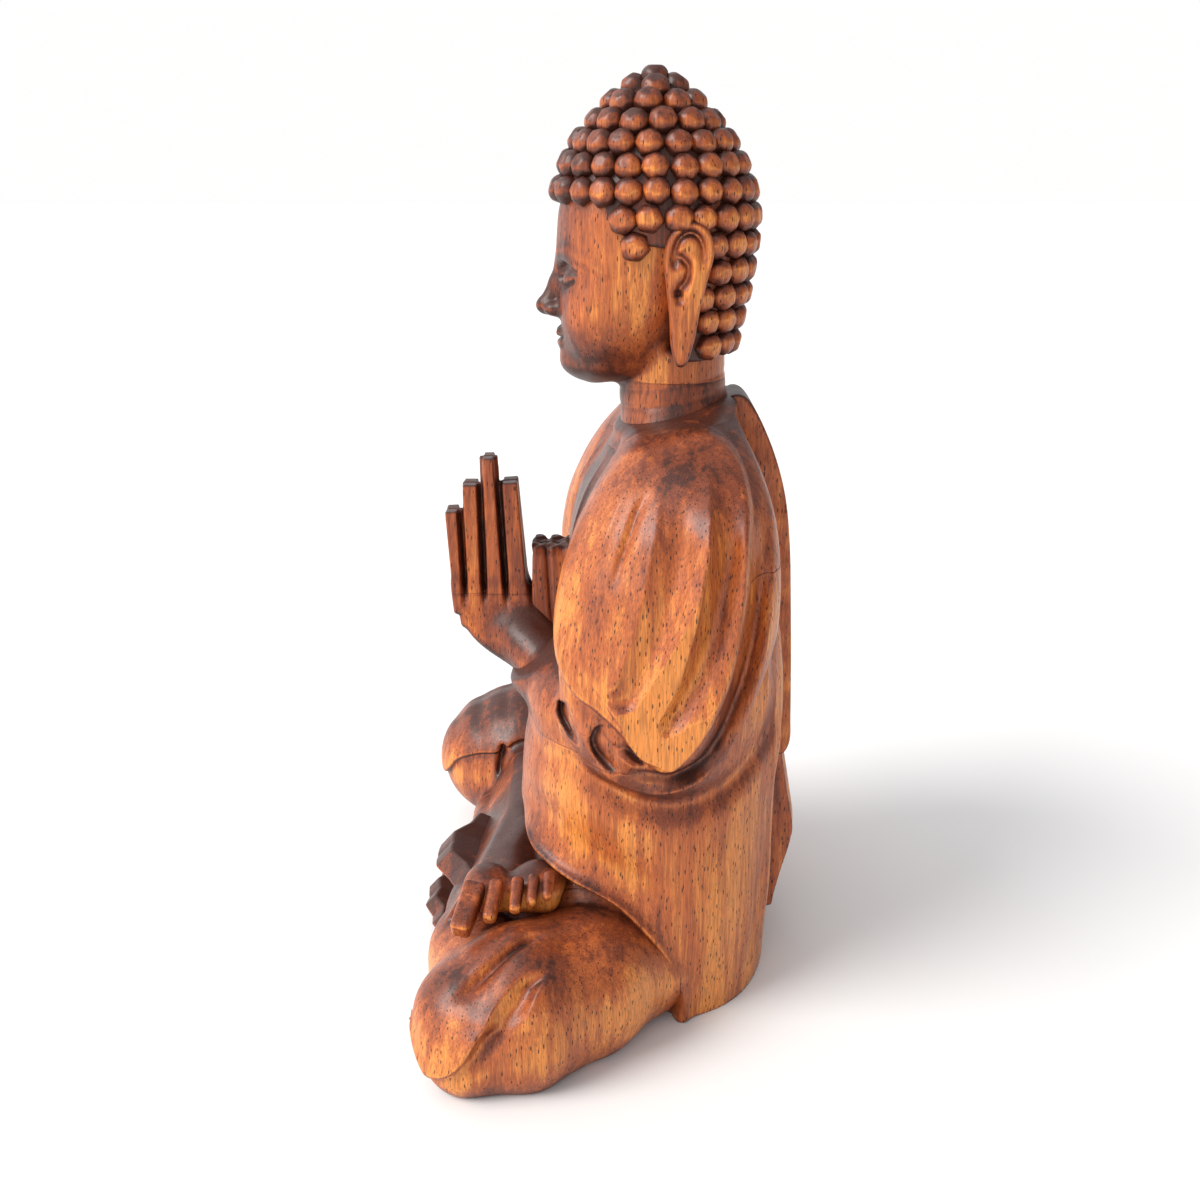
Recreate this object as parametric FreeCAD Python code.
"""Carved wooden figure seated cross-legged with its palms together.

Millimetres. +Z is up, the figure faces -Y and its left side is +X. The origin is the
centre of the bounding box at floor level. Each carved region is its own solid, cut
where the carver's groove parts it from its neighbours.
"""
import FreeCAD, Part
import math
import os

Vector = FreeCAD.Vector

# ---------------------------------------------------------------- driving dimensions
STATUE_HEIGHT = 200.0
KNEE_SPAN = 145.0
STATUE_DEPTH = 91.0

# Head: chin to hairline is split in thirds by the brow and the base of the nose.
CHIN_Z = 136.0
HAIRLINE_Z = 177.0
HEAD_CENTRE_Y = 9.8
HEAD_HALF_WIDTH = 17.6
FACE_THIRD = (HAIRLINE_Z - CHIN_Z) / 3
BROW_Z = HAIRLINE_Z - FACE_THIRD
NOSE_BASE_Z = BROW_Z - FACE_THIRD
MOUTH_Z = NOSE_BASE_Z - FACE_THIRD / 3
EYE_Z = BROW_Z - FACE_THIRD / 3
EYE_SPACING = 2 * HEAD_HALF_WIDTH / 5 * 2
FACE_FRONT_Y = -10.6

# Hair: a pointed dome of knob curls.
CURL_HEIGHT = 2.5
CAP_TOP_Z = STATUE_HEIGHT - CURL_HEIGHT + 0.1
CAP_WIDE_Z = 168.0
CAP_LOW_Z = 142.0
CAP_HALF_DEPTH = 20.3
CAP_HALF_WIDTH = 18.6
CURL_PITCH = 5.15
CURL_RADIUS = 2.45
CURL_ROWS = 13
CURL_SIDES = 6
WHOLE_ROWS = 6
TEMPLE_FRONT_Y = -1.0
BEHIND_EAR_Y = 21.0

# Body
TORSO_CENTRE_Y = 15.0
TORSO_HALF_DEPTH = 23.0
COLLAR_Z = 127.0
WAIST_Z = 62.0
DRAPE_TOP_Z = 60.0
SHOULDER = Vector(26, 18, 116)
ELBOW = Vector(39, 9, 72)
WRIST = Vector(8, -15, 73)
PALM_THICKNESS = 6.2
PALM_GAP = 0.15
FINGERTIP_Z = {"little": 106.4, "ring": 112.5, "middle": 118.6, "index": 113.0}
FINGER_TIP_Y = {"little": -35.3, "ring": -31.0, "middle": -26.7, "index": -22.2}
FINGER_BASE_Y = {"little": -33.2, "ring": -29.4, "middle": -25.5, "index": -21.2}
FINGER_BASE_Z = 86.0
THUMB_TOP_Z = 98.8
PLEAT_DEPTH = 2.4
PLEAT_GAP = 0.1
ROBE_HALF_WIDTH = 43.0
SASH_HALF_WIDTH = 7.5
KNEE_FRONT_Y = 3.5 - STATUE_DEPTH / 2
PLEAT_FRONT_Y = 0.3 - STATUE_DEPTH / 2
LEFT_KNEE_TOP_Z = 28.0
RIGHT_KNEE_TOP_Z = 38.0

SECTION_POINTS = 16
LOFT_DEGREE = 3
SMALLEST_KEPT_PIECE = 0.02


# ---------------------------------------------------------------- shape helpers
def ring(centre, across, along, half_across, half_along, power=2.0):
    """Closed smooth section in the plane of two unit vectors, a superellipse."""
    points = []
    for step in range(SECTION_POINTS):
        angle = 2 * math.pi * step / SECTION_POINTS
        cos, sin = math.cos(angle), math.sin(angle)
        reach_a = half_across * math.copysign(abs(cos) ** (2 / power), cos)
        reach_b = half_along * math.copysign(abs(sin) ** (2 / power), sin)
        points.append(centre + across * reach_a + along * reach_b)
    curve = Part.BSplineCurve()
    curve.interpolate(Points=points, PeriodicFlag=True)
    return Part.Wire([curve.toShape()])


def stack(levels, power=2.0):
    """Loft through level sections, each (z, centre x, centre y, half x, half y)."""
    wires = []
    for z, x, y, half_x, half_y in levels:
        wires.append(ring(Vector(x, y, z), Vector(1, 0, 0), Vector(0, 1, 0), half_x, half_y, power))
    return Part.makeLoft(wires, True, False, False, LOFT_DEGREE)


def limb(stations, power=2.0):
    """Loft along a path, each station (centre, half width level, half height)."""
    wires = []
    last = len(stations) - 1
    for index, (centre, half_width, half_height) in enumerate(stations):
        before = stations[max(index - 1, 0)][0]
        after = stations[min(index + 1, last)][0]
        heading = (after - before).normalize()
        level = heading.cross(Vector(0, 0, 1)).normalize()
        upward = level.cross(heading).normalize()
        wires.append(ring(centre, level, upward, half_width, half_height, power))
    return Part.makeLoft(wires, True, False, False, LOFT_DEGREE)


def ellipsoid(centre, half_x, half_y, half_z):
    scale = FreeCAD.Matrix()
    scale.scale(half_x, half_y, half_z)
    shape = Part.makeSphere(1.0).transformGeometry(scale)
    shape.translate(centre)
    return shape


def side_plate(outline, x_low, x_high):
    """Plate with an outline of (y, z) corners, between two X planes."""
    corners = [Vector(x_low, y, z) for y, z in outline]
    face = Part.Face(Part.makePolygon(corners + corners[:1]))
    return face.extrude(Vector(x_high - x_low, 0, 0))


def smooth_plate(outline, x_low, x_high):
    """Plate with a smooth closed outline through (y, z) points."""
    curve = Part.BSplineCurve()
    curve.interpolate(Points=[Vector(x_low, y, z) for y, z in outline], PeriodicFlag=True)
    return Part.Face(Part.Wire([curve.toShape()])).extrude(Vector(x_high - x_low, 0, 0))


def part_from(shape, *neighbours):
    """Cut the neighbours away and drop the crumbs that a cut leaves."""
    for tool in neighbours:
        if shape.BoundBox.intersect(tool.BoundBox):
            shape = shape.cut(tool)
    solids = sorted(shape.Solids, key=lambda solid: -solid.Volume)
    kept = [solid for solid in solids if solid.Volume > SMALLEST_KEPT_PIECE * solids[0].Volume]
    return kept[0] if len(kept) == 1 else Part.makeCompound(kept)


def mirrored(shape):
    return shape.mirror(Vector(0, 0, 0), Vector(1, 0, 0))


# ---------------------------------------------------------------- head
def make_head():
    return stack([
        (CHIN_Z, 0, -0.5, 6.0, 5.5),
        (CHIN_Z + 3, 0, 1.0, 10.5, 9.6),
        (CHIN_Z + 10, 0, 3.6, 14.6, 13.6),
        (CHIN_Z + 20, 0, 5.6, 16.9, 16.0),
        (CHIN_Z + 30, 0, 7.2, HEAD_HALF_WIDTH, 17.8),
        (CHIN_Z + 40, 0, 8.4, 17.2, 18.6),
        (CHIN_Z + 47, 0, 9.0, 13.5, 15.5),
    ])


def make_nose():
    bridge = Vector(0, FACE_FRONT_Y + 1.5, EYE_Z + 2)
    tip = Vector(0, FACE_FRONT_Y - 2.4, NOSE_BASE_Z + 2.4)
    wires = [
        ring(bridge, Vector(1, 0, 0), Vector(0, 1, 0), 1.6, 1.8),
        ring((bridge + tip) * 0.5, Vector(1, 0, 0), Vector(0, 1, 0), 2.2, 2.6),
        ring(tip, Vector(1, 0, 0), Vector(0, 1, 0), 3.5, 3.4),
        ring(tip - Vector(0, -0.8, 2.2), Vector(1, 0, 0), Vector(0, 1, 0), 3.0, 2.6),
    ]
    return Part.makeLoft(wires, True, False, False, LOFT_DEGREE)


def make_lips():
    upper = ellipsoid(Vector(0, FACE_FRONT_Y + 1.7, MOUTH_Z + 0.9), 5.0, 2.4, 1.0)
    lower = ellipsoid(Vector(0, FACE_FRONT_Y + 1.9, MOUTH_Z - 1.2), 4.2, 2.4, 1.1)
    return [upper, lower]


def make_eyelids():
    return [
        ellipsoid(Vector(side * EYE_SPACING / 2, FACE_FRONT_Y + 3.2, EYE_Z - 0.6), 4.2, 2.6, 2.4)
        for side in (1, -1)
    ]


def make_brows():
    brows = []
    for side in (1, -1):
        inner = Vector(side * 2.0, FACE_FRONT_Y + 0.6, BROW_Z - 1.2)
        middle = Vector(side * 7.5, FACE_FRONT_Y + 2.0, BROW_Z + 0.8)
        outer = Vector(side * 13.0, FACE_FRONT_Y + 6.6, BROW_Z - 1.8)
        brows.append(limb([(inner, 0.9, 0.9), (middle, 1.0, 0.9), (outer, 0.7, 0.6)]))
    return brows


def make_ear():
    outline = [
        (11.2, 163.5), (12.8, 168.4), (16.5, 170.4), (20.6, 168.6), (21.6, 163.5),
        (19.2, 155.0), (17.8, 147.5), (15.6, 141.8), (13.2, 144.5), (12.4, 152.0),
    ]
    return smooth_plate(outline, 15.6, 20.4)


# ---------------------------------------------------------------- hair
def cap_share(z):
    """How wide the hair dome is at a height, as a share of its widest."""
    if z >= CAP_WIDE_Z:
        rise = (z - CAP_WIDE_Z) / (CAP_TOP_Z - CAP_WIDE_Z)
        return max(1 - rise ** 2, 0.0) ** 0.8
    return 1 - 0.28 * ((CAP_WIDE_Z - z) / 30) ** 1.5


def cap_section(z):
    share = cap_share(z)
    return (z, 0, HEAD_CENTRE_Y, CAP_HALF_WIDTH * share, CAP_HALF_DEPTH * share)


def front_half_space(y_limit, z_low, z_high):
    box = Part.makeBox(80, 80, z_high - z_low)
    box.translate(Vector(-40, y_limit - 80, z_low))
    return box


def make_hair_cap():
    """Full dome above the hairline, and only behind the temple and ear below it."""
    levels = [CAP_LOW_Z, 150, 159, CAP_WIDE_Z, 175, 181, 187, 191.5, 195, 197]
    dome = stack([cap_section(z) for z in levels])
    face_side = front_half_space(6.5, CAP_LOW_Z - 5, HAIRLINE_Z - 2.5)
    ear_side = front_half_space(20.0, CAP_LOW_Z - 5, CAP_WIDE_Z - 4)
    return dome.cut([face_side, ear_side])


def row_heights():
    """Row heights, an equal step apart along the dome's back outline, from the top."""
    heights = []
    z = CAP_TOP_Z
    walked = CURL_PITCH
    step = 0.05
    while len(heights) < CURL_ROWS - 1:
        lower = z - step
        run = CAP_HALF_DEPTH * (cap_share(lower) - cap_share(z))
        walked += math.hypot(step, run)
        z = lower
        if walked >= CURL_PITCH * (len(heights) + 1.86):
            heights.append(z)
    return heights


def curl(foot, outward):
    """Knob with flat cut sides and a flat end, standing on the dome."""
    across = outward.cross(Vector(0, 0, 1))
    if across.Length < 0.01:
        across = Vector(1, 0, 0)
    across.normalize()
    along = outward.cross(across).normalize()
    rings = []
    for reach, lift in ((0.86, -0.1), (1.0, 0.45), (0.9, 0.75), (0.5, 1.0)):
        corners = []
        for side in range(CURL_SIDES):
            angle = 2 * math.pi * side / CURL_SIDES
            sideways = across * math.cos(angle) + along * math.sin(angle)
            corners.append(foot + outward * (lift * CURL_HEIGHT) + sideways * (reach * CURL_RADIUS))
        rings.append(corners)
    faces = [Part.Face(Part.makePolygon(loop + loop[:1])) for loop in (rings[0], rings[-1])]
    for low, high in zip(rings, rings[1:]):
        for side in range(CURL_SIDES):
            other = (side + 1) % CURL_SIDES
            quad = [low[side], low[other], high[other], high[side], low[side]]
            faces.append(Part.Face(Part.makePolygon(quad)))
    solid = Part.Solid(Part.Shell(faces))
    if solid.Volume < 0:
        solid.reverse()
    return solid


def dome_normal(angle, z):
    """Outward direction of the dome, from its sideways and upward slopes."""
    rise = 0.2
    slope = (cap_share(z - rise) - cap_share(z + rise)) / (2 * rise) * CAP_HALF_DEPTH
    flat = Vector(math.sin(angle) / CAP_HALF_WIDTH, math.cos(angle) / CAP_HALF_DEPTH, 0).normalize()
    return Vector(flat.x, flat.y, slope).normalize()


def has_curl(row, y):
    """Whole rings above the brow, then the temple, and only behind the ear below that."""
    if row < WHOLE_ROWS or y >= BEHIND_EAR_Y:
        return True
    if row == WHOLE_ROWS:
        return y >= TEMPLE_FRONT_Y
    return row == WHOLE_ROWS + 1 and TEMPLE_FRONT_Y + 4.5 <= y <= TEMPLE_FRONT_Y + 10


def make_curl_row(row, z):
    share = cap_share(z)
    circumference = math.pi * share * (CAP_HALF_WIDTH + CAP_HALF_DEPTH)
    count = max(int(circumference / CURL_PITCH), 3)
    knobs = []
    for index in range(count):
        angle = 2 * math.pi * (index + 0.5 * (row % 2)) / count
        foot = Vector(
            CAP_HALF_WIDTH * share * math.sin(angle),
            HEAD_CENTRE_Y + CAP_HALF_DEPTH * share * math.cos(angle),
            z,
        )
        if has_curl(row, foot.y):
            knobs.append(curl(foot, dome_normal(angle, z)))
    return knobs


def make_crown_knob():
    return curl(Vector(0, HEAD_CENTRE_Y, CAP_TOP_Z - 0.2), Vector(0, 0, 1))


# ---------------------------------------------------------------- torso and robe
def make_torso():
    return stack([
        (WAIST_Z, 0, 15.0, 34.0, 22.8),
        (80, 0, 15.0, 34.0, TORSO_HALF_DEPTH),
        (98, 0, TORSO_CENTRE_Y, 34.5, TORSO_HALF_DEPTH),
        (112, 0, 16.0, 32.0, 20.5),
        (122, 0, 16.5, 25.0, 16.5),
        (COLLAR_Z, 0, 16.0, 17.0, 13.0),
    ])


def make_hips():
    """Robe round the hips, standing on the floor under the torso."""
    return stack([
        (0, 0, 16.0, 38.5, 22.5),
        (20, 0, 16.4, 38.5, 23.0),
        (42, 0, 16.2, 37.0, 23.2),
        (WAIST_Z, 0, 15.5, 35.0, 23.2),
    ], power=2.3)


def make_neck():
    return stack([
        (COLLAR_Z - 2, 0, 14.6, 13.0, 12.0),
        (COLLAR_Z + 5, 0, 14.4, 11.6, 11.2),
        (CHIN_Z + 5, 0, 14.2, 12.2, 11.6),
    ])


def make_collar():
    outer = stack([
        (COLLAR_Z - 4, 0, 16.4, 18.5, 15.0),
        (COLLAR_Z, 0, 16.0, 16.6, 13.8),
        (COLLAR_Z + 3.5, 0, 15.6, 14.4, 12.9),
    ])
    slant = Part.makeBox(60, 60, 20)
    slant.rotate(Vector(0, 0, 0), Vector(1, 0, 0), 13)
    slant.translate(Vector(-30, 2.0, COLLAR_Z + 0.6))
    return outer.cut(slant)


def make_sleeve():
    """Upper arm under the robe, from the shoulder down to the elbow."""
    return stack([
        (DRAPE_TOP_Z, ELBOW.x, 5.5, 6.0, 9.0),
        (ELBOW.z - 6, ELBOW.x, 7.0, 9.5, 15.0),
        (ELBOW.z + 3, 36.8, 10.0, 12.5, 20.0),
        (ELBOW.z + 18, 34.0, 12.5, 14.0, 22.0),
        (ELBOW.z + 32, 31.0, 14.5, 14.5, 20.5),
        (SHOULDER.z, 27.0, 16.5, 14.5, 17.0),
        (SHOULDER.z + 9, 20.5, 17.5, 12.5, 13.0),
        (SHOULDER.z + 14, 15.0, 18.0, 7.0, 8.0),
    ])


def make_forearm():
    return limb([
        (ELBOW + Vector(-1, 2, -6), 8.0, 8.0),
        (ELBOW + Vector(-5, -7, -3), 10.5, 10.0),
        ((ELBOW + WRIST) * 0.5 + Vector(0, 0, -1), 9.0, 9.0),
        (WRIST + Vector(4, 3, 0), 7.0, 7.4),
        (WRIST, 5.6, 6.6),
    ])


def make_robe_shell():
    """Outer form of the hanging robe, a rounded box that widens to the floor."""
    return stack([
        (0, 0, 5.0, ROBE_HALF_WIDTH, 33.0),
        (20, 0, 8.0, ROBE_HALF_WIDTH + 1.5, 30.8),
        (45, 0, 9.0, ROBE_HALF_WIDTH + 1, 30.0),
        (74, 0, 10.0, ROBE_HALF_WIDTH, 29.5),
    ], power=2.5)


def make_drape(knee_top_z):
    """Sleeve cloth that hangs from the forearm over the thigh and down to the floor."""
    rise = knee_top_z - LEFT_KNEE_TOP_Z
    outline = [
        (-20, 71), (-20, 46 + rise), (-15, 39.5 + rise), (-5, 32 + rise), (6, 21 + rise),
        (13, 10 + rise), (17, 0), (34, 0), (37, 20), (37, DRAPE_TOP_Z), (-9, DRAPE_TOP_Z),
    ]
    return make_robe_shell().common(side_plate(outline, 14, ROBE_HALF_WIDTH + 6))


def make_upper_sash():
    """Folded end of the robe, hanging from the nape down the middle of the back."""
    outline = [
        (26, 131.5), (30.5, 130.5), (38.5, 112), (42.5, 92), (44, 72), (44.6, 56), (44.2, 50),
        (40, 49), (34, 60), (32, 95), (26, 118),
    ]
    return side_plate(outline, -SASH_HALF_WIDTH, SASH_HALF_WIDTH)


def make_lower_sash():
    outline = [
        (36, 49), (43.2, 49), (44.6, 38), (STATUE_DEPTH / 2, 27), (44.6, 19), (41.5, 12),
        (40.5, 8), (32, 8),
    ]
    return side_plate(outline, -SASH_HALF_WIDTH - 2, SASH_HALF_WIDTH + 2)


# ---------------------------------------------------------------- hands
def make_palm():
    outline = [
        (-12.5, 70), (-19, 69.8), (-28.5, 73.8), (-33.6, 81), (-36.0, 88), (-34, 90),
        (-27, 90.5), (-20, 90), (-15.5, 85), (-12.0, 77),
    ]
    return smooth_plate(outline, PALM_GAP, PALM_GAP + PALM_THICKNESS)


def make_finger(name):
    base_y, tip_y, tip_z = FINGER_BASE_Y[name], FINGER_TIP_Y[name], FINGERTIP_Z[name]
    return stack([
        (FINGER_BASE_Z, PALM_GAP + 2.8, base_y, 2.7, 1.85),
        ((FINGER_BASE_Z + tip_z) / 2, PALM_GAP + 2.3, (base_y + tip_y) / 2, 2.2, 1.75),
        (tip_z, PALM_GAP + 1.7, tip_y, 1.6, 1.45),
    ], power=4.0)


def make_thumb():
    return stack([
        (76, PALM_GAP + 3.0, -13.0, 2.9, 5.0),
        (88, PALM_GAP + 2.9, -12.2, 2.8, 5.4),
        (THUMB_TOP_Z, PALM_GAP + 2.5, -11.2, 2.4, 5.2),
    ], power=4.0)


# ---------------------------------------------------------------- legs
def make_lap():
    return stack([
        (0, 0, -8, 44, 27),
        (14, 0, -8, 46, 27),
        (28, 0, -4, 40, 23),
        (36, 0, 2, 34, 17),
    ], power=2.6)


def make_thigh(top_z):
    """Folded upper leg, from the hip out to the knee."""
    half = top_z / 2
    outer_x = KNEE_SPAN / 2
    return limb([
        (Vector(outer_x - 42.5, 22, half * 0.8), 9.0, half * 0.62),
        (Vector(outer_x - 32.5, 10, half * 0.92), 17.0, half * 0.92),
        (Vector(outer_x - 22.5, -6, half), 19.0, half),
        (Vector(outer_x - 17.5, -22, half), 17.6, half),
        (Vector(outer_x - 15.0, -33, half * 0.9), 14.2, half * 0.86),
        (Vector(outer_x - 14.0, KNEE_FRONT_Y, half * 0.72), 7.0, half * 0.5),
    ], power=2.2)


def make_shin(knee, middle, ankle, half_knee, half_ankle):
    """Lower leg under the robe, from the knee across the front."""
    return limb([
        (knee, half_knee * 0.7, half_knee * 0.8),
        (knee * 0.7 + middle * 0.3, half_knee, half_knee),
        (middle, (half_knee + half_ankle) / 2, (half_knee + half_ankle) / 2),
        (ankle, half_ankle, half_ankle),
    ])


def make_foot():
    return limb([
        (Vector(2, -20, 33), 6.0, 5.0),
        (Vector(14, -20.5, 34), 9.5, 5.5),
        (Vector(30, -21, 33), 10.8, 4.8),
        (Vector(43, -21, 31.5), 11.0, 4.2),
    ], power=2.6)


def make_toes():
    """Big toe and four smaller ones, side by side, pointing to the figure's left."""
    rows = [(-30.0, 27.5, 3.2, 10.5), (-24.2, 29.6, 2.5, 9.5), (-19.2, 31.2, 2.3, 8.5),
            (-14.6, 32.6, 2.1, 7.5), (-10.6, 33.8, 1.8, 6.0)]
    toes = []
    for y, z, half, length in rows:
        root = Vector(43.2, y * 0.9 - 2.1, z + 0.6)
        tip = Vector(43.2 + length, y, z - 1.2)
        toes.append(limb([
            (root, half * 0.9, half * 0.95),
            ((root + tip) * 0.5, half, half),
            (tip - Vector(1.2, 0, 0), half, half * 0.95),
            (tip, half * 0.6, half * 0.6),
        ]))
    return toes


def make_pleats(top_z, low_z, front_y, half_spread, count):
    """Fan of folded cloth in front of the ankles: wedges side by side, ridge outwards."""
    wedges = []
    back_y = -22.0
    top = Vector(0, back_y, top_z)
    for index in range(count):
        left_x = half_spread * (2 * index / count - 1) + PLEAT_GAP
        right_x = half_spread * (2 * (index + 1) / count - 1) - PLEAT_GAP
        crest_x = (left_x + right_x) / 2
        reach = front_y + 3.0 * (crest_x / half_spread) ** 2
        left = Vector(left_x, reach + PLEAT_DEPTH, low_z)
        right = Vector(right_x, reach + PLEAT_DEPTH, low_z)
        crest = Vector(crest_x, reach, low_z)
        under = [left, crest, right, Vector(right_x * 0.5, back_y, low_z), Vector(left_x * 0.5, back_y, low_z)]
        tip = top + Vector(crest_x * 0.3, 0, 0)
        faces = [Part.Face(Part.makePolygon(under + under[:1]))]
        for start, end in zip(under, under[1:] + under[:1]):
            faces.append(Part.Face(Part.makePolygon([start, end, tip, start])))
        solid = Part.Solid(Part.Shell(faces))
        if solid.Volume < 0:
            solid.reverse()
        wedges.append(solid)
    return wedges


# ---------------------------------------------------------------- assembly
def build_head(nodes):
    head = make_head()
    cap = part_from(make_hair_cap(), head)
    ear = make_ear()
    nodes["head"] = head
    nodes["hair_cap"] = part_from(cap, ear, mirrored(ear))
    nodes["left_ear"] = part_from(ear, head)
    nodes["right_ear"] = mirrored(nodes["left_ear"])
    nodes["nose"] = part_from(make_nose(), head)
    nodes["lips"] = Part.makeCompound([part_from(lip, head) for lip in make_lips()])
    nodes["eyelids"] = Part.makeCompound([part_from(lid, head) for lid in make_eyelids()])
    nodes["brows"] = Part.makeCompound([part_from(brow, head) for brow in make_brows()])
    for row, z in enumerate(row_heights()):
        nodes[f"curl_row_{row + 1:02d}"] = Part.makeCompound(make_curl_row(row, z))
    nodes["crown_knob"] = make_crown_knob()
    nodes["neck"] = part_from(make_neck(), head, nodes["hair_cap"])


def build_body(nodes):
    neck = nodes["neck"]
    collar = part_from(make_collar(), neck)
    sash = make_upper_sash()
    torso = part_from(make_torso(), neck, collar, sash)
    sleeve = part_from(make_sleeve(), torso, collar, sash)
    forearm = part_from(make_forearm(), torso, sleeve)
    nodes["robe_collar"] = collar
    nodes["torso"] = torso
    nodes["left_sleeve"] = sleeve
    nodes["right_sleeve"] = mirrored(sleeve)
    nodes["left_forearm"] = forearm
    nodes["right_forearm"] = mirrored(forearm)
    nodes["upper_sash"] = sash


def build_hands(nodes):
    forearm, torso = nodes["left_forearm"], nodes["torso"]
    palm = part_from(make_palm(), forearm, torso)
    nodes["left_palm"] = palm
    nodes["right_palm"] = mirrored(palm)
    thumb = part_from(make_thumb(), palm, torso, forearm)
    nodes["left_thumb"] = thumb
    nodes["right_thumb"] = mirrored(thumb)
    for name in FINGERTIP_Z:
        finger = part_from(make_finger(name), palm)
        nodes[f"left_{name}_finger"] = finger
        nodes[f"right_{name}_finger"] = mirrored(finger)


def build_legs(nodes):
    left_thigh = make_thigh(LEFT_KNEE_TOP_Z)
    right_thigh = mirrored(make_thigh(RIGHT_KNEE_TOP_Z))
    foot = part_from(make_foot(), left_thigh)
    toes = Part.makeCompound([part_from(toe, left_thigh, foot) for toe in make_toes()])
    right_shin = make_shin(Vector(-50, -32, 25), Vector(-26, -30, 26), Vector(6, -22, 28), 10.5, 8.5)
    left_shin = make_shin(Vector(50, -31, 11), Vector(24, -30, 11), Vector(-12, -28, 10), 10.5, 9.5)
    right_shin = part_from(right_shin, right_thigh, left_thigh, foot)
    left_shin = part_from(left_shin, left_thigh, right_thigh, right_shin)
    hips = part_from(make_hips(), left_thigh, right_thigh)
    nodes["hips"] = hips
    nodes["left_thigh"] = left_thigh
    nodes["right_thigh"] = right_thigh
    nodes["right_foot"] = foot
    nodes["right_toes"] = toes
    nodes["right_shin"] = right_shin
    nodes["left_shin"] = left_shin
    nodes["lap"] = part_from(make_lap(), hips, left_thigh, right_thigh, foot, right_shin, left_shin)
    build_pleats(nodes, left_shin, right_shin, nodes["lap"])


def build_pleats(nodes, *neighbours):
    lower = [part_from(wedge, *neighbours) for wedge in make_pleats(14.0, 0.0, PLEAT_FRONT_Y, 21.0, 7)]
    upper = [
        part_from(wedge, *neighbours, *lower)
        for wedge in make_pleats(32.0, 11.5, PLEAT_FRONT_Y + 2.5, 15.0, 5)
    ]
    nodes["lower_pleats"] = Part.makeCompound(lower)
    nodes["upper_pleats"] = Part.makeCompound(upper)


def build_hanging_cloth(nodes):
    left = [nodes[name] for name in ("hips", "left_forearm", "left_thigh", "lap", "right_foot")]
    right = [nodes[name] for name in ("hips", "right_forearm", "right_thigh", "lap")]
    nodes["left_drape"] = part_from(make_drape(LEFT_KNEE_TOP_Z), *left)
    nodes["right_drape"] = part_from(mirrored(make_drape(RIGHT_KNEE_TOP_Z)), *right)
    nodes["upper_sash"] = part_from(nodes["upper_sash"], nodes["hips"])
    nodes["lower_sash"] = part_from(make_lower_sash(), nodes["hips"], nodes["upper_sash"])


def centre_on_floor(nodes):
    """Move every piece so that the whole stands at the origin, centred on it."""
    box = Part.makeCompound(list(nodes.values())).optimalBoundingBox()
    shift = Vector(-(box.XMin + box.XMax) / 2, -(box.YMin + box.YMax) / 2, -box.ZMin)
    for shape in nodes.values():
        shape.translate(shift)
    return box


def main():
    nodes = {}
    build_head(nodes)
    build_body(nodes)
    build_hands(nodes)
    build_legs(nodes)
    build_hanging_cloth(nodes)
    box = centre_on_floor(nodes)
    print(f"built {box.XLength:.2f} x {box.YLength:.2f} x {box.ZLength:.2f} mm")
    os.makedirs("parts", exist_ok=True)
    for name, shape in nodes.items():
        shape.exportStep(f"parts/{name}.step")
        print(f"{name:22s} solids {len(shape.Solids):3d} volume {shape.Volume:10.1f} valid {shape.isValid()}")


main()
